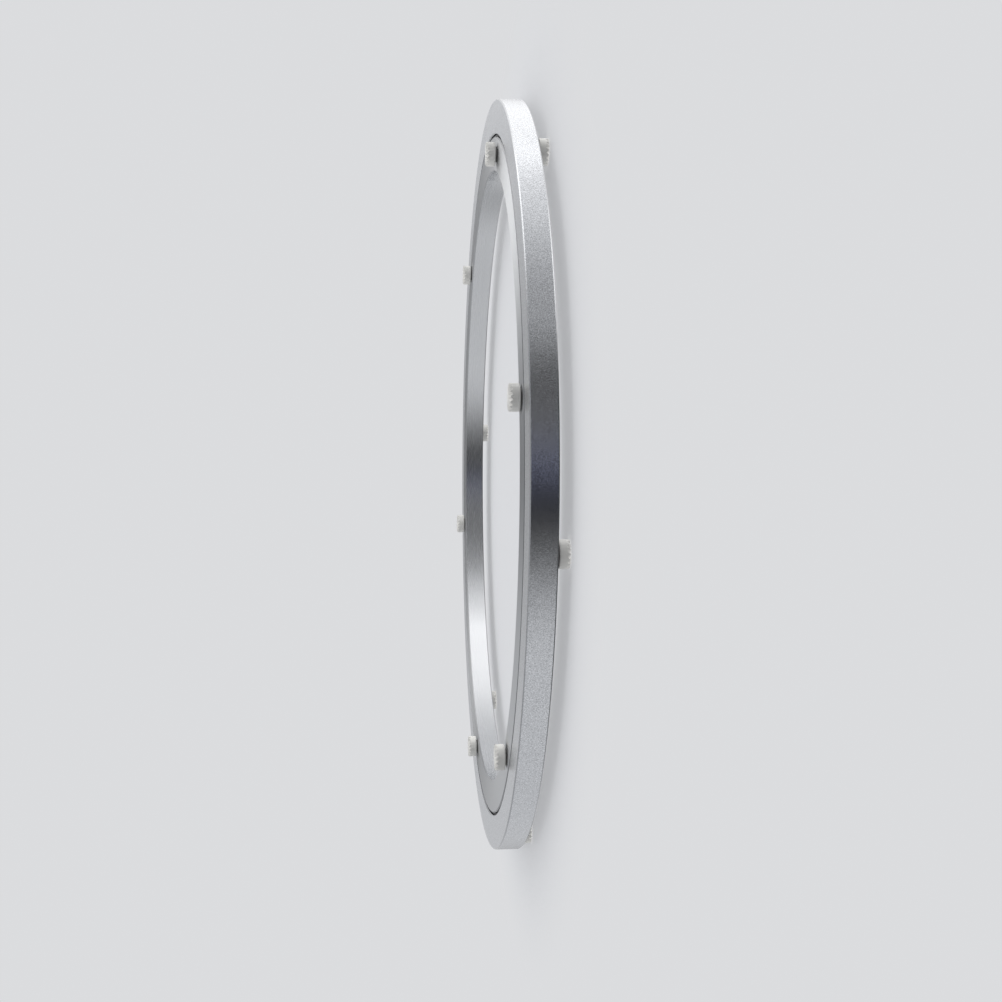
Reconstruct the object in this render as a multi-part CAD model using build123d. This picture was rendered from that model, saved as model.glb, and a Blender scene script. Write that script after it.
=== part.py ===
from build123d import *
from math import hypot, radians, tan
import os

# Flat aluminium lazy susan bearing, in millimetres, lying on the outer ring's pads.
# The origin is on the bearing's axis, in the plane of those pads' ends, and +Z is up along the axis.

# The two rings
OUTER_DIAMETER = 300.0
OUTER_RING_WIDTH = 12.75
INNER_RING_WIDTH = 12.75
RING_THICKNESS = 9.0
RUNNING_GAP = 1.0
EDGE_BEVEL = 0.4

# The ball race between them
BALL_DIAMETER = 4.76
BALL_COUNT = 18
RACE_CLEARANCE = 0.2
RETAINER_CLEARANCE = 0.25
RETAINER_WEB = 0.9
POCKET_CLEARANCE = 0.2
FILL_HOLE_CLEARANCE = 0.3
PLUG_CLEARANCE = 0.05

# The rubber pads: a notched head, undercut round a narrow seat, on a stem pressed into a blind hole
PAD_COUNT = 6
PAD_DIAMETER = 9.0
PAD_HEIGHT = 4.2
PAD_BEVEL = 0.4
PAD_SEAT_WIDTH = 0.4
PAD_UNDERCUT_HEIGHT = 0.6
CROWN_BEVEL = 0.5
STEM_DIAMETER = 5.0
STEM_LENGTH = 3.2
STEM_CLEARANCE = 0.05
HOLE_END_CLEARANCE = 0.2
NOTCH_COUNT = 16
NOTCH_DEPTH = 1.2
NOTCH_LENGTH = 2.5
NOTCH_HALF_ANGLE = 40.0
BASE_PAD_ANGLE = 20.0
TOP_PAD_LEAD_ANGLE = 20.35

# Radii and heights that follow from them
RIM_RADIUS = OUTER_DIAMETER / 2
OUTER_BORE_RADIUS = RIM_RADIUS - OUTER_RING_WIDTH
INNER_RIM_RADIUS = OUTER_BORE_RADIUS - RUNNING_GAP
BORE_RADIUS = INNER_RIM_RADIUS - INNER_RING_WIDTH
PITCH_RADIUS = (OUTER_BORE_RADIUS + INNER_RIM_RADIUS) / 2
BALL_RADIUS = BALL_DIAMETER / 2
POCKET_RADIUS = BALL_RADIUS + POCKET_CLEARANCE
LOWER_FACE = PAD_HEIGHT
UPPER_FACE = LOWER_FACE + RING_THICKNESS
MID_HEIGHT = (LOWER_FACE + UPPER_FACE) / 2
PAD_PITCH = 360.0 / PAD_COUNT
BASE_PAD_RADIUS = RIM_RADIUS - OUTER_RING_WIDTH / 2
TOP_PAD_RADIUS = BORE_RADIUS + INNER_RING_WIDTH / 2
TOP_PAD_ANGLE = BASE_PAD_ANGLE + TOP_PAD_LEAD_ANGLE

# The filling hole lies midway between two top pads, on the side opposite the first of them
FILL_HOLE_RADIUS = BALL_RADIUS + FILL_HOLE_CLEARANCE
FILL_HOLE_ANGLE = TOP_PAD_ANGLE + PAD_PITCH * (PAD_COUNT // 2 + 0.5)


def around(angle, radius, height, shape):
    """The shape, moved out along X to a radius and a height, and turned about the bearing's axis."""
    return Rot(0, 0, angle) * Pos(radius, 0, height) * shape


def ring_blank(inner_radius, outer_radius):
    """A flat ring with bevelled edges and its half of the race, which is a square stood on its corner."""
    section = Rectangle(outer_radius - inner_radius, RING_THICKNESS)
    section = chamfer(section.vertices(), EDGE_BEVEL)
    section = Pos((inner_radius + outer_radius) / 2, MID_HEIGHT) * section
    race_side = BALL_DIAMETER + 2 * RACE_CLEARANCE
    section -= Pos(PITCH_RADIUS, MID_HEIGHT) * Rectangle(race_side, race_side, rotation=45)
    return revolve(Plane.XZ * section, Axis.Z)


def stem_hole():
    """A blind hole for a pad's stem, going down from the ring face at height zero."""
    depth = STEM_LENGTH + HOLE_END_CLEARANCE
    return Pos(0, 0, -depth / 2) * Cylinder(STEM_DIAMETER / 2 + STEM_CLEARANCE, depth)


def pad_notch():
    """A V groove that deepens towards the rim of a pad's end."""
    half_width = tan(radians(NOTCH_HALF_ANGLE))
    start = (PAD_DIAMETER / 2 - NOTCH_LENGTH, 0, PAD_HEIGHT)
    root = Plane(start, x_dir=(0, 1, 0), z_dir=(NOTCH_LENGTH, 0, -NOTCH_DEPTH))
    height = 2 * NOTCH_DEPTH
    section = Polygon((0, 0), (half_width * height, height), (-half_width * height, height), align=None)
    return extrude(root * section, 2 * hypot(NOTCH_LENGTH, NOTCH_DEPTH))


def rubber_pad():
    """One pad standing on a ring face at height zero, with its stem below and its crown on top."""
    head_radius = PAD_DIAMETER / 2
    stem_radius = STEM_DIAMETER / 2
    seat_radius = stem_radius + PAD_SEAT_WIDTH
    outline = Polyline(
        (0, -STEM_LENGTH),
        (stem_radius, -STEM_LENGTH),
        (stem_radius, 0),
        (seat_radius, 0),
        (seat_radius, PAD_UNDERCUT_HEIGHT),
        (head_radius - PAD_BEVEL, PAD_UNDERCUT_HEIGHT),
        (head_radius, PAD_UNDERCUT_HEIGHT + PAD_BEVEL),
        (head_radius, PAD_HEIGHT - CROWN_BEVEL),
        (head_radius - CROWN_BEVEL, PAD_HEIGHT),
        (0, PAD_HEIGHT),
        close=True,
    )
    pad = revolve(Plane.XZ * make_face(outline), Axis.Z)
    return pad - [place * pad_notch() for place in PolarLocations(0, NOTCH_COUNT)]


def radial_rod(angle, radius):
    """A rod from the axis outwards at mid height, for what lies along a radius of the bearing."""
    return around(angle, PITCH_RADIUS / 2, MID_HEIGHT, Rot(0, 90, 0) * Cylinder(radius, PITCH_RADIUS))


def ball_retainer(ball_angles):
    """A thin band in the gap between the rings, with a round pocket for each ball."""
    thickness = RUNNING_GAP - 2 * RETAINER_CLEARANCE
    section = Rectangle(thickness, 2 * (POCKET_RADIUS + RETAINER_WEB))
    band = revolve(Plane.XZ * Pos(PITCH_RADIUS, MID_HEIGHT) * section, Axis.Z)
    pocket = Rot(0, 90, 0) * Cylinder(POCKET_RADIUS, 2 * RUNNING_GAP)
    return band - [around(angle, PITCH_RADIUS, MID_HEIGHT, pocket) for angle in ball_angles]


pad_numbers = range(PAD_COUNT)
base_pad_angles = [BASE_PAD_ANGLE + PAD_PITCH * number for number in pad_numbers]
top_pad_angles = [TOP_PAD_ANGLE + PAD_PITCH * number for number in pad_numbers]
ball_angles = [360.0 / BALL_COUNT * number for number in range(BALL_COUNT)]
upside_down = Rot(180, 0, 0)

outer_blank = ring_blank(OUTER_BORE_RADIUS, RIM_RADIUS)
inner_blank = ring_blank(BORE_RADIUS, INNER_RIM_RADIUS)
lower_hole = upside_down * stem_hole()
base_pad = upside_down * rubber_pad()
top_pad = rubber_pad()

nodes = {
    "outer_ring": outer_blank
    - [around(angle, BASE_PAD_RADIUS, LOWER_FACE, lower_hole) for angle in base_pad_angles],
    "inner_ring": inner_blank
    - [around(angle, TOP_PAD_RADIUS, UPPER_FACE, stem_hole()) for angle in top_pad_angles]
    - radial_rod(FILL_HOLE_ANGLE, FILL_HOLE_RADIUS),
    "fill_plug": inner_blank & radial_rod(FILL_HOLE_ANGLE, FILL_HOLE_RADIUS - PLUG_CLEARANCE),
    "ball_retainer": ball_retainer(ball_angles),
    "bearing_balls": Compound(
        [around(angle, PITCH_RADIUS, MID_HEIGHT, Sphere(BALL_RADIUS)) for angle in ball_angles]
    ),
}
for number in pad_numbers:
    nodes[f"base_pad_{number + 1}"] = around(base_pad_angles[number], BASE_PAD_RADIUS, LOWER_FACE, base_pad)
    nodes[f"top_pad_{number + 1}"] = around(top_pad_angles[number], TOP_PAD_RADIUS, UPPER_FACE, top_pad)

os.makedirs("parts", exist_ok=True)
for name, shape in nodes.items():
    export_step(shape, f"parts/{name}.step")
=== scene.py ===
from math import atan2, cos, hypot, pi, radians, sin, tan

import bpy
from mathutils import Matrix, Vector


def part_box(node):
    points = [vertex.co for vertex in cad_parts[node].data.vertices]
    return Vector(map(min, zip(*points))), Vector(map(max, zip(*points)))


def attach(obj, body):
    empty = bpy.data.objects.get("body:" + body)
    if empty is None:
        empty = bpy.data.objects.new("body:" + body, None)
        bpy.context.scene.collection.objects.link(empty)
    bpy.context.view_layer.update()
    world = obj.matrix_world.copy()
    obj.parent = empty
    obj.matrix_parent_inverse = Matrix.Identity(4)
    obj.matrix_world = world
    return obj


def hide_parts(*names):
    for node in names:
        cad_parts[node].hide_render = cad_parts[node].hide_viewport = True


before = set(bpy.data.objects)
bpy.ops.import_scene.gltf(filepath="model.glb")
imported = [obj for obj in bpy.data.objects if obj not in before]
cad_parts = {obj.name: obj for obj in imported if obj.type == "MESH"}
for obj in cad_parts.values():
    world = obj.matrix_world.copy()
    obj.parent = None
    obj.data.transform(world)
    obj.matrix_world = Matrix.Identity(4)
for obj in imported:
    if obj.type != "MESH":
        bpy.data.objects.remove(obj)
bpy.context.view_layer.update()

MM = 0.001

# The view, in metres and degrees: the ring lies flat, so the camera is turned to show it upright
CAMERA_PLACE = (-0.00551, -0.50086, 0.05641)
CAMERA_TARGET = (-0.01024, 0.0, 0.00688)
CAMERA_UP = (1.0, 0.0, 0.0)
CAMERA_ROLL = 0.108
CAMERA_NEAREST = 0.01
LENS = 43.15
SENSOR = 36.0

# The bevels at the rings' outer edges, at half a right angle: glossy, with painted shade that darkens their
# colour
OUTER_RIM_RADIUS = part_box("outer_ring")[1].x
INNER_RIM_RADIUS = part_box("inner_ring")[1].x
BEVEL_LEVEL = 0.707
BEVEL_LEVEL_SPAN = (0.1, 0.2)
BEVEL_RADIUS_SPAN = (0.9 * MM, 1.0 * MM)
BEVEL_PAINTED_SHADE = (0.2, 0.205, 0.215)
BEVEL_ROUGHNESS = 0.12

# Bead-blasted aluminium: dull and bright grains, each between two tones
DULL_GRAIN_TONES = ((0.403, 0.411, 0.424), (0.421, 0.43, 0.443))
BRIGHT_GRAIN_TONES = ((0.785, 0.8, 0.827), (0.815, 0.83, 0.854))
BLASTED_GRAIN_SIZE = 0.36 * MM
BLASTED_GRAIN_DETAIL = 1.0
BLASTED_GRAIN_HEIGHT = 0.015 * MM
BLASTED_CLOUD_SIZE = 24 * MM
BLASTED_ROUGHNESS = (0.18, 0.2)
BLASTED_FACE_ROUGHNESS = 0.09
BLASTED_BEVEL_SHADE_SHARE = 0.6

# Fine-turned aluminium: the upright walls and the level faces, each between two tones
WALL_TONES = ((0.655, 0.665, 0.678), (0.68, 0.69, 0.705))
FACE_TONES = ((0.555, 0.565, 0.575), (0.58, 0.59, 0.6))
LATHE_LINE_SIZE = 0.22 * MM
LATHE_LINE_STRENGTH = 0.6
LATHE_LINE_HEIGHT = 0.0015 * MM
TURNED_CLOUD_SIZE = 30 * MM
TURNED_ROUGHNESS = (0.25, 0.28)
TURNED_FACE_ROUGHNESS = 0.2
TURNED_BEVEL_SHADE_SHARE = 0.9
ANISOTROPY = 0.92
ANISOTROPY_TURN = 0.25

# White rubber, with painted shade in the undercut below the pads' heads
RUBBER_TONES = ((0.88, 0.87, 0.83), (0.93, 0.92, 0.885))
RECESS_PAINTED_SHADE = (0.45, 0.445, 0.43)
RECESS_FADE = 0.1 * MM
RUBBER_GRAIN_SIZE = 0.3 * MM
RUBBER_GRAIN_DETAIL = 3.0
RUBBER_GRAIN_STRENGTH = 0.5
RUBBER_GRAIN_HEIGHT = 0.02 * MM
RUBBER_CLOUD_SIZE = 4 * MM
RUBBER_ROUGHNESS = (0.45, 0.6)

# Black nylon and polished steel, inside the race
NYLON_TONES = ((0.008, 0.008, 0.009), (0.014, 0.014, 0.015))
NYLON_GRAIN_SIZE = 0.5 * MM
NYLON_GRAIN_STRENGTH = 0.4
NYLON_GRAIN_HEIGHT = 0.01 * MM
NYLON_ROUGHNESS = (0.4, 0.55)
STEEL_TONES = ((0.60, 0.60, 0.61), (0.68, 0.68, 0.69))
STEEL_FILM_SIZE = 1.5 * MM
STEEL_ROUGHNESS = (0.06, 0.14)

# The part of a noise texture's range that most of its values lie in, and its usual detail
NOISE_RANGE = (0.25, 0.75)
NOISE_DETAIL = 2.0

# The pads' shape: the solids' sizes, with rounded edges and softened notches
PAD_COUNT = 6
PAD_RADIUS = 4.5 * MM
PAD_HEIGHT = 4.2 * MM
PAD_EDGE_ROUND = 0.4 * MM
CROWN_ROUND = 0.55 * MM
CROWN_DOME = 0.06 * MM
SEAT_WIDTH = 0.4 * MM
UNDERCUT_HEIGHT = 0.6 * MM
STEM_RADIUS = 2.5 * MM
STEM_LENGTH = 3.2 * MM
STEM_END_WIDTH_SHARE = 0.92
STEM_STRAIGHT_SHARE = 0.94
NOTCH_COUNT = 16
NOTCH_DEPTH = 1.2 * MM
NOTCH_LENGTH = 2.5 * MM
NOTCH_HALF_ANGLE = 40.0
NOTCH_SOFTNESS = 0.05 * MM
STEPS_PER_NOTCH = 14
PAD_EDGE_STEPS = 5
PAD_SIDE_STEPS = 4
CROWN_ROUND_STEPS = 12
CROWN_STEPS = 12

# The studio: one pale backdrop all round, with soft lights and dark cards that show no edge
BACKDROP = (0.71, 0.717, 0.733)
LAMP_TONE = (1.0, 0.99, 0.98)
COOL_TONE = (0.5, 0.56, 1.0)
# Place, direction that it faces, width and height of its middle, strength, surfaces that it serves, tone
SOFTBOXES = {
    "side_softbox": ((0.3, 0.04, -0.05), (-1, 0, 0), (0.2, 0.5), 0.75, "metal", LAMP_TONE),
    "edge_softbox": ((0.305, -0.055, -0.05), (-1, 0, 0), (0.03, 0.5), 0.25, "metal", LAMP_TONE),
    "upper_softbox": ((0.46, 0.31, 0.42), (-0.66, -0.45, -0.6), (0.28, 0.28), 0.75, "metal", LAMP_TONE),
    "pad_softbox": ((0.8, 0.2, 0.0), (-1, -0.2, 0), (0.6, 0.9), 1.3, "matte", LAMP_TONE),
    "cool_fill": ((0.06, -1.05, -0.13), (0, 1, 0), (0.14, 0.5), 0.115, "metal", COOL_TONE),
}
# Strip lights for the bevels, from one end to the other
STRIPS = {
    "upper_strip": ((0.455, -0.03, 0.582), (0.58, 0.25, 0.365)),
    "lower_strip": ((0.178, -0.055, -0.375), (0.298, 0.087, -0.27)),
}
STRIP_WIDTH = 0.03
STRIP_STRENGTH = 2.0
# Place, direction that it faces, width and height of its middle, share of the light that it takes, surfaces
DARK_CARDS = {
    "room_behind_camera": ((-0.14, -1.2, -0.1), (0, 1, 0), (0.58, 1.6), 0.965, "all"),
    "room_beside_camera": ((0.58, -1.25, -0.1), (0, 1, 0), (0.45, 0.8), 0.75, "all"),
    "room_before_pads": ((-0.05, -0.7, 0.0), (0, 1, 0), (0.6, 0.6), 0.7, "matte"),
    "ceiling": ((0.05, 0.5, 0.65), (0, -0.6, -0.8), (0.3, 0.7), 0.95, "metal"),
    "shade_under_ring": ((0.0, 0.0, -0.4), (0, 0, 1), (0.45, 0.45), 0.8, "metal"),
    "edge_flag": ((0.31, -0.33, -0.05), (-1, 0, 0), (0.12, 0.5), 0.34, "metal"),
    "rear_corner": ((-0.5, 0.95, -0.25), (0.46, -0.88, 0), (0.35, 0.22), 0.5, "metal"),
}
# Side of a light or card over its middle, by which it has faded to nothing
SOFT_PLANE_REACH = 4.6
FLOOR_GLOW = 0.46
FLOOR_ALBEDO = 0.7
FLOOR_FADE = (0.15, 0.2)
FLOOR_SIZE = 60.0


def add_node(tree, kind, inputs=None, **settings):
    """The outputs of a new node, with its settings and with values or links on its inputs."""
    node = tree.nodes.new(kind)
    for name, value in settings.items():
        setattr(node, name, value)
    for socket, value in (inputs or {}).items():
        if isinstance(value, bpy.types.NodeSocket):
            tree.links.new(value, node.inputs[socket])
        else:
            node.inputs[socket].default_value = value
    return node.outputs


def empty_tree(owner):
    """The node tree of a material or the world, with nothing in it."""
    owner.use_nodes = True
    owner.node_tree.nodes.clear()
    return owner.node_tree


def new_material(name):
    """A node material, its empty tree and the place on its object, in metres."""
    material = bpy.data.materials.new(name)
    tree = empty_tree(material)
    return material, tree, add_node(tree, "ShaderNodeTexCoord")["Object"]


def show(tree, shader):
    """The material's output, which shows a shader."""
    add_node(tree, "ShaderNodeOutputMaterial", {"Surface": shader})


def show_surface(tree, inputs):
    """The material's output, which shows a Principled shader with values or links on its inputs."""
    show(tree, add_node(tree, "ShaderNodeBsdfPrincipled", inputs)[0])


def emission(tree, tone, strength):
    """A shader that glows."""
    return add_node(tree, "ShaderNodeEmission", {"Color": (*tone, 1.0), "Strength": strength})[0]


def math_node(tree, operation, *inputs):
    """The number that one Math node gives."""
    return add_node(tree, "ShaderNodeMath", dict(enumerate(inputs)), operation=operation)[0]


def vector_node(tree, operation, *inputs):
    """The outputs of one Vector Math node: a vector and a number."""
    return add_node(tree, "ShaderNodeVectorMath", dict(enumerate(inputs)), operation=operation)


def noise(tree, coordinates, size, detail=NOISE_DETAIL):
    """Noise whose features are about size metres across, as a value from 0 to 1."""
    inputs = {"Vector": coordinates, "Scale": 1.0 / size, "Detail": detail}
    return add_node(tree, "ShaderNodeTexNoise", inputs)["Fac"]


def spread(tree, value, low, high):
    """A noise value, spread over low to high."""
    start, end = NOISE_RANGE
    inputs = {"Value": value, "From Min": start, "From Max": end, "To Min": low, "To Max": high}
    return add_node(tree, "ShaderNodeMapRange", inputs)["Result"]


def shade(tree, value, first, second):
    """A colour between two, each of them a tone or another colour's socket."""
    tones = [tone if isinstance(tone, bpy.types.NodeSocket) else (*tone, 1.0) for tone in (first, second)]
    inputs = {"Factor": value, "A": tones[0], "B": tones[1]}
    return add_node(tree, "ShaderNodeMix", inputs, data_type="RGBA")[2]


def mix_values(tree, value, first, second):
    """A number between two, each of them a number or a socket."""
    inputs = {"Value": value, "To Min": first, "To Max": second}
    return add_node(tree, "ShaderNodeMapRange", inputs)["Result"]


def near(tree, value, centre, inside, outside):
    """1 where a value is close to a centre, falling to 0 further away."""
    away = math_node(tree, "ABSOLUTE", math_node(tree, "SUBTRACT", value, centre))
    inputs = {"Value": away, "From Min": inside, "From Max": outside, "To Min": 1.0, "To Max": 0.0}
    return add_node(tree, "ShaderNodeMapRange", inputs)["Result"]


def relief(tree, height, strength, distance):
    """A surface that rises and falls by a distance in metres, as a normal."""
    inputs = {"Height": height, "Strength": strength, "Distance": distance}
    return add_node(tree, "ShaderNodeBump", inputs)[0]


def upward_part(tree, vector):
    """The part of a vector that points up."""
    return add_node(tree, "ShaderNodeSeparateXYZ", {0: vector})["Z"]


def radius_at(tree, place):
    """Distance from the bearing's axis."""
    flat = vector_node(tree, "MULTIPLY", place, (1.0, 1.0, 0.0))["Vector"]
    return vector_node(tree, "LENGTH", flat)["Value"]


def levelness(tree):
    """1 on a face that lies flat, 0 on an upright one."""
    normal = add_node(tree, "ShaderNodeNewGeometry")["Normal"]
    return math_node(tree, "ABSOLUTE", upward_part(tree, normal))


def bevel_mask(tree, radius, level, edge_radius):
    """1 on the bevels at one edge of a ring, 0 elsewhere."""
    slanted = near(tree, level, BEVEL_LEVEL, *BEVEL_LEVEL_SPAN)
    at_edge = near(tree, radius, edge_radius, *BEVEL_RADIUS_SPAN)
    return math_node(tree, "MULTIPLY", slanted, at_edge)


def blasted_aluminium():
    """Bead-blasted and clear anodised: an even satin with a fine sparkling grain, duller on its faces."""
    material, tree, place = new_material("blasted_aluminium")
    level = levelness(tree)
    grain = noise(tree, place, BLASTED_GRAIN_SIZE, BLASTED_GRAIN_DETAIL)
    cloud = noise(tree, place, BLASTED_CLOUD_SIZE)
    dull = shade(tree, cloud, *DULL_GRAIN_TONES)
    bright = shade(tree, cloud, *BRIGHT_GRAIN_TONES)
    skin = shade(tree, spread(tree, grain, 0.0, 1.0), dull, bright)
    bevel = bevel_mask(tree, radius_at(tree, place), level, OUTER_RIM_RADIUS)
    # Painted shade: the bevels at the rim's edges get a darker colour
    painted_bevel_shade = math_node(tree, "MULTIPLY", bevel, BLASTED_BEVEL_SHADE_SHARE)
    on_face = math_node(tree, "MULTIPLY", level, BLASTED_FACE_ROUGHNESS)
    satin = math_node(tree, "ADD", spread(tree, cloud, *BLASTED_ROUGHNESS), on_face)
    grain_strength = math_node(tree, "SUBTRACT", 1.0, bevel)
    show_surface(tree, {
        "Base Color": shade(tree, painted_bevel_shade, skin, BEVEL_PAINTED_SHADE),
        "Metallic": 1.0,
        "Roughness": mix_values(tree, bevel, satin, BEVEL_ROUGHNESS),
        "Normal": relief(tree, grain, grain_strength, BLASTED_GRAIN_HEIGHT),
    })
    return material


def turned_aluminium():
    """Fine-turned: lathe lines run round the ring, so that highlights fan out across them."""
    material, tree, place = new_material("turned_aluminium")
    level = levelness(tree)
    radius = radius_at(tree, place)
    across = add_node(tree, "ShaderNodeCombineXYZ", {0: radius, 1: upward_part(tree, place)})[0]
    lines = noise(tree, across, LATHE_LINE_SIZE)
    cloud = noise(tree, place, TURNED_CLOUD_SIZE)
    skin = shade(tree, level, shade(tree, cloud, *WALL_TONES), shade(tree, cloud, *FACE_TONES))
    bevel = bevel_mask(tree, radius, level, INNER_RIM_RADIUS)
    # Painted shade: the bevels at the ring's outer edge, beside the running gap, get a darker colour
    painted_bevel_shade = math_node(tree, "MULTIPLY", bevel, TURNED_BEVEL_SHADE_SHARE)
    on_face = math_node(tree, "MULTIPLY", level, TURNED_FACE_ROUGHNESS)
    show_surface(tree, {
        "Base Color": shade(tree, painted_bevel_shade, skin, BEVEL_PAINTED_SHADE),
        "Metallic": 1.0,
        "Roughness": math_node(tree, "ADD", spread(tree, lines, *TURNED_ROUGHNESS), on_face),
        "Anisotropic": ANISOTROPY,
        "Anisotropic Rotation": ANISOTROPY_TURN,
        "Tangent": add_node(tree, "ShaderNodeTangent", direction_type="RADIAL", axis="Z")[0],
        "Normal": relief(tree, lines, LATHE_LINE_STRENGTH, LATHE_LINE_HEIGHT),
    })
    return material


def white_rubber():
    """Warm white moulded rubber with a fine dull grain, and painted shade in the undercut."""
    material, tree, place = new_material("white_rubber")
    grain = noise(tree, place, RUBBER_GRAIN_SIZE, RUBBER_GRAIN_DETAIL)
    cloud = noise(tree, place, RUBBER_CLOUD_SIZE)
    height = upward_part(tree, place)
    # Painted shade: the rubber's colour darkens in the undercut below the head
    painted_undercut_shade = near(tree, height, 0.0, UNDERCUT_HEIGHT, UNDERCUT_HEIGHT + RECESS_FADE)
    show_surface(tree, {
        "Base Color": shade(tree, painted_undercut_shade, shade(tree, cloud, *RUBBER_TONES), RECESS_PAINTED_SHADE),
        "Roughness": spread(tree, grain, *RUBBER_ROUGHNESS),
        "Normal": relief(tree, grain, RUBBER_GRAIN_STRENGTH, RUBBER_GRAIN_HEIGHT),
    })
    return material


def black_nylon():
    """Black moulded nylon, slightly uneven."""
    material, tree, place = new_material("black_nylon")
    grain = noise(tree, place, NYLON_GRAIN_SIZE)
    show_surface(tree, {
        "Base Color": shade(tree, grain, *NYLON_TONES),
        "Roughness": spread(tree, grain, *NYLON_ROUGHNESS),
        "Normal": relief(tree, grain, NYLON_GRAIN_STRENGTH, NYLON_GRAIN_HEIGHT),
    })
    return material


def polished_steel():
    """Chrome steel balls with a film of oil."""
    material, tree, place = new_material("polished_steel")
    film = noise(tree, place, STEEL_FILM_SIZE)
    show_surface(tree, {
        "Base Color": shade(tree, film, *STEEL_TONES),
        "Metallic": 1.0,
        "Roughness": spread(tree, film, *STEEL_ROUGHNESS),
    })
    return material


def notch_cut(radius, angle, height):
    """How far the nearest V notch, which deepens towards the rim, cuts below a height on a pad's end."""
    pitch = 2 * pi / NOTCH_COUNT
    off_centre = radius * abs(sin((angle + pitch / 2) % pitch - pitch / 2))
    root = PAD_HEIGHT - NOTCH_DEPTH * (radius - (PAD_RADIUS - NOTCH_LENGTH)) / NOTCH_LENGTH
    above = height - root - hypot(off_centre, NOTCH_SOFTNESS) / tan(radians(NOTCH_HALF_ANGLE))
    return (above + hypot(above, NOTCH_SOFTNESS)) / 2


def arc(middle_radius, middle_height, size, first, last, steps):
    """Points of a profile's round edge, by angles from level."""
    turns = [radians(first + (last - first) * step / steps) for step in range(steps + 1)]
    return [(middle_radius + size * cos(turn), middle_height + size * sin(turn)) for turn in turns]


def pad_profile():
    """Points (radius, height) of a pad, from the stem's end, round the head, to near its crown's middle."""
    seat_radius = STEM_RADIUS + SEAT_WIDTH
    side = UNDERCUT_HEIGHT + PAD_EDGE_ROUND
    crown_radius = PAD_RADIUS - CROWN_ROUND
    shoulder = PAD_HEIGHT - CROWN_DOME - CROWN_ROUND
    points = [
        (STEM_RADIUS * STEM_END_WIDTH_SHARE, -STEM_LENGTH),
        (STEM_RADIUS, -STEM_LENGTH * STEM_STRAIGHT_SHARE),
        (STEM_RADIUS, 0),
        (seat_radius, 0),
        (seat_radius, UNDERCUT_HEIGHT),
    ]
    points += arc(PAD_RADIUS - PAD_EDGE_ROUND, side, PAD_EDGE_ROUND, -90, 0, PAD_EDGE_STEPS)
    for step in range(1, PAD_SIDE_STEPS):
        points.append((PAD_RADIUS, side + (shoulder - side) * step / PAD_SIDE_STEPS))
    points += arc(crown_radius, shoulder, CROWN_ROUND, 0, 90, CROWN_ROUND_STEPS)
    for step in range(1, CROWN_STEPS):
        radius = crown_radius * (1 - step / CROWN_STEPS)
        points.append((radius, PAD_HEIGHT - CROWN_DOME * (radius / crown_radius) ** 2))
    return points


def rubber_pad_mesh(material):
    """One pad standing on height zero: a turned head and stem, with softened notches cut into the crown."""
    steps = NOTCH_COUNT * STEPS_PER_NOTCH
    profile = pad_profile()
    points = [(0, 0, -STEM_LENGTH)]
    for radius, height in profile:
        for step in range(steps):
            angle = 2 * pi * step / steps
            cut = notch_cut(radius, angle, height)
            points.append((radius * cos(angle), radius * sin(angle), height - cut))
    points.append((0, 0, PAD_HEIGHT))
    faces = []
    for row in range(len(profile) - 1):
        for step in range(steps):
            here = 1 + row * steps + step
            beside = 1 + row * steps + (step + 1) % steps
            faces.append((here, beside, beside + steps, here + steps))
    last_row = 1 + (len(profile) - 1) * steps
    for step in range(steps):
        beside = (step + 1) % steps
        faces.append((0, 1 + beside, 1 + step))
        faces.append((last_row + step, last_row + beside, len(points) - 1))
    mesh = bpy.data.meshes.new("rubber_pad")
    mesh.from_pydata(points, [], faces)
    mesh.shade_smooth()
    mesh.materials.append(material)
    return mesh


def place_pads(mesh, name, body, seat_height, crown_up):
    """One ring's pads, each where its solid is."""
    for number in range(1, PAD_COUNT + 1):
        node = f"{name}_{number}"
        low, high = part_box(node)
        middle = (low + high) / 2
        pad = bpy.data.objects.new(f"{node}_rubber", mesh)
        bpy.context.scene.collection.objects.link(pad)
        facing = Matrix.Identity(4) if crown_up else Matrix.Rotation(pi, 4, "X")
        turn = Matrix.Rotation(atan2(middle.y, middle.x), 4, "Z")
        pad.matrix_world = Matrix.Translation((middle.x, middle.y, seat_height)) @ turn @ facing
        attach(pad, body)
        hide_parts(node)


def dress(node, material):
    """A new finish on a node of the frame."""
    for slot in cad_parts[node].material_slots:
        slot.material = material


def make_world():
    """The plain backdrop, the same for the camera, the metal and the light that falls on the object."""
    world = bpy.data.worlds.new("studio")
    bpy.context.scene.world = world
    tree = empty_tree(world)
    backdrop = add_node(tree, "ShaderNodeBackground", {"Color": (*BACKDROP, 1.0), "Strength": 1.0})[0]
    add_node(tree, "ShaderNodeOutputWorld", {"Surface": backdrop})


def plane(name, width, length, material):
    """A flat rectangle about the origin, facing up."""
    half_width, half_length = width / 2, length / 2
    corners = [(-half_width, -half_length, 0), (half_width, -half_length, 0)]
    corners += [(half_width, half_length, 0), (-half_width, half_length, 0)]
    mesh = bpy.data.meshes.new(name)
    mesh.from_pydata(corners, [], [(0, 1, 2, 3)])
    mesh.materials.append(material)
    thing = bpy.data.objects.new(name, mesh)
    bpy.context.scene.collection.objects.link(thing)
    return thing


def turned_towards(facing, along=None):
    """The turn of a plane that faces a direction, with its width along another or else level."""
    if along is None:
        return Vector(facing).to_track_quat("Z", "Y").to_matrix().to_4x4()
    width = along.normalized()
    normal = (facing - facing.dot(width) * width).normalized()
    return Matrix((width, normal.cross(width), normal)).transposed().to_4x4()


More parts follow.
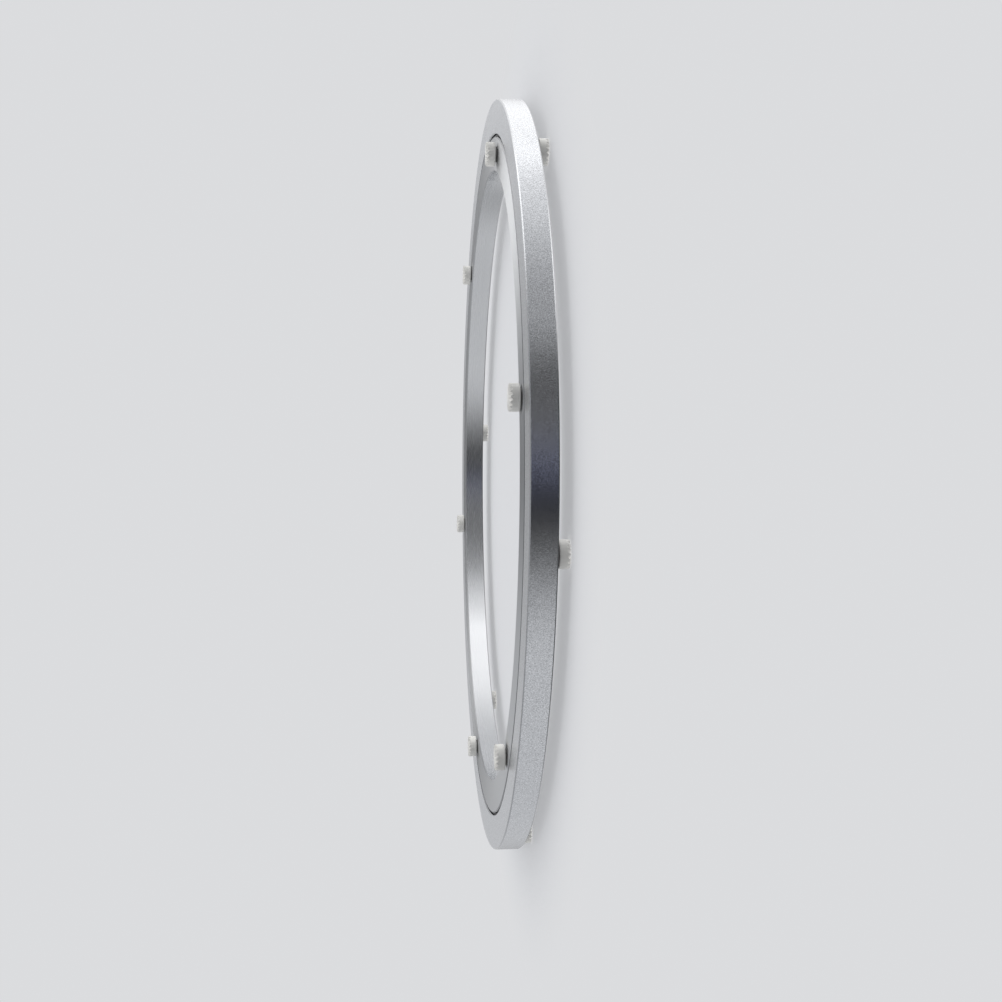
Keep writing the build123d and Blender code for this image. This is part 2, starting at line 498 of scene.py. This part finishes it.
def soft_plane(name, place, turn, middle, surfaces):
    """A plane that the camera doesn't see: its tree, and a value that falls from 1 in its middle to 0."""
    material, tree, point = new_material(name)
    width, height = middle
    scaled = vector_node(tree, "DIVIDE", point, (width, height, 1.0))["Vector"]
    away = vector_node(tree, "DOT_PRODUCT", scaled, scaled)["Value"]
    fall = math_node(tree, "EXPONENT", math_node(tree, "MULTIPLY", away, -1.0))
    thing = plane(name, SOFT_PLANE_REACH * width, SOFT_PLANE_REACH * height, material)
    thing.matrix_world = Matrix.Translation(place) @ turn
    thing.visible_camera = False
    thing.visible_glossy = surfaces != "matte"
    thing.visible_diffuse = surfaces != "metal"
    return tree, fall


def make_light(name, place, turn, middle, strength, surfaces, tone):
    """A soft light, brightest in its middle."""
    tree, fall = soft_plane(name, place, turn, middle, surfaces)
    glow = emission(tree, tone, math_node(tree, "MULTIPLY", fall, strength))
    clear = add_node(tree, "ShaderNodeBsdfTransparent")[0]
    show(tree, add_node(tree, "ShaderNodeAddShader", {0: glow, 1: clear})[0])


def make_strip(name, start, end):
    """A narrow light that faces the ring's middle, for the metal alone."""
    place = (Vector(start) + Vector(end)) / 2
    along = Vector(end) - Vector(start)
    middle = (along.length / 2, STRIP_WIDTH)
    make_light(name, place, turned_towards(-place, along), middle, STRIP_STRENGTH, "metal", LAMP_TONE)


def make_dark_card(name, place, turn, middle, taken, surfaces):
    """A dark card, which takes light most in its middle."""
    tree, fall = soft_plane(name, place, turn, middle, surfaces)
    left = math_node(tree, "SUBTRACT", 1.0, math_node(tree, "MULTIPLY", fall, taken))
    show(tree, add_node(tree, "ShaderNodeBsdfTransparent", {"Color": left})[0])


def make_floor():
    """A pale floor that runs into the backdrop, keeps the object's shadow and is clear from below."""
    material, tree, place = new_material("floor")
    start, end = FLOOR_FADE
    inputs = {"Value": vector_node(tree, "LENGTH", place)["Value"], "From Min": start, "From Max": end}
    far = add_node(tree, "ShaderNodeMapRange", inputs, interpolation_type="SMOOTHSTEP")["Result"]
    albedo = tuple(FLOOR_ALBEDO * tone for tone in BACKDROP)
    lit = add_node(tree, "ShaderNodeBsdfDiffuse", {"Color": (*albedo, 1.0)})[0]
    glow = emission(tree, BACKDROP, FLOOR_GLOW)
    shadowed = add_node(tree, "ShaderNodeAddShader", {0: lit, 1: glow})[0]
    plain = emission(tree, BACKDROP, 1.0)
    above = add_node(tree, "ShaderNodeMixShader", {0: far, 1: shadowed, 2: plain})[0]
    below = add_node(tree, "ShaderNodeNewGeometry")["Backfacing"]
    clear = add_node(tree, "ShaderNodeBsdfTransparent")[0]
    show(tree, add_node(tree, "ShaderNodeMixShader", {0: below, 1: above, 2: clear})[0])
    floor = plane("floor", FLOOR_SIZE, FLOOR_SIZE, material)
    floor.visible_diffuse = False
    floor.visible_glossy = False
    floor.visible_transmission = False
    floor.visible_shadow = False


def make_camera():
    """The camera at the photograph's angle to the ring."""
    data = bpy.data.cameras.new("camera")
    data.lens = LENS
    data.sensor_width = SENSOR
    data.clip_start = CAMERA_NEAREST
    camera = bpy.data.objects.new("camera", data)
    bpy.context.scene.collection.objects.link(camera)
    forward = (Vector(CAMERA_TARGET) - Vector(CAMERA_PLACE)).normalized()
    right = forward.cross(Vector(CAMERA_UP)).normalized()
    up = right.cross(forward)
    turn = Matrix((right, up, -forward)).transposed().to_4x4()
    roll = Matrix.Rotation(radians(CAMERA_ROLL), 4, "Z")
    camera.matrix_world = Matrix.Translation(CAMERA_PLACE) @ turn @ roll
    bpy.context.scene.camera = camera


bpy.context.scene.view_settings.view_transform = "Standard"
make_camera()
make_world()
for softbox_name, (place, facing, *rest) in SOFTBOXES.items():
    make_light(softbox_name, place, turned_towards(facing), *rest)
for strip_name, ends in STRIPS.items():
    make_strip(strip_name, *ends)
for card_name, (place, facing, *rest) in DARK_CARDS.items():
    make_dark_card(card_name, place, turned_towards(facing), *rest)
make_floor()

blasted = blasted_aluminium()
dress("outer_ring", blasted)
dress("inner_ring", turned_aluminium())
dress("fill_plug", blasted)
dress("ball_retainer", black_nylon())
dress("bearing_balls", polished_steel())

pad_mesh = rubber_pad_mesh(white_rubber())
ring_low, ring_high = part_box("outer_ring")
place_pads(pad_mesh, "base_pad", "base_ring", ring_low.z, crown_up=False)
place_pads(pad_mesh, "top_pad", "turntable_ring", ring_high.z, crown_up=True)
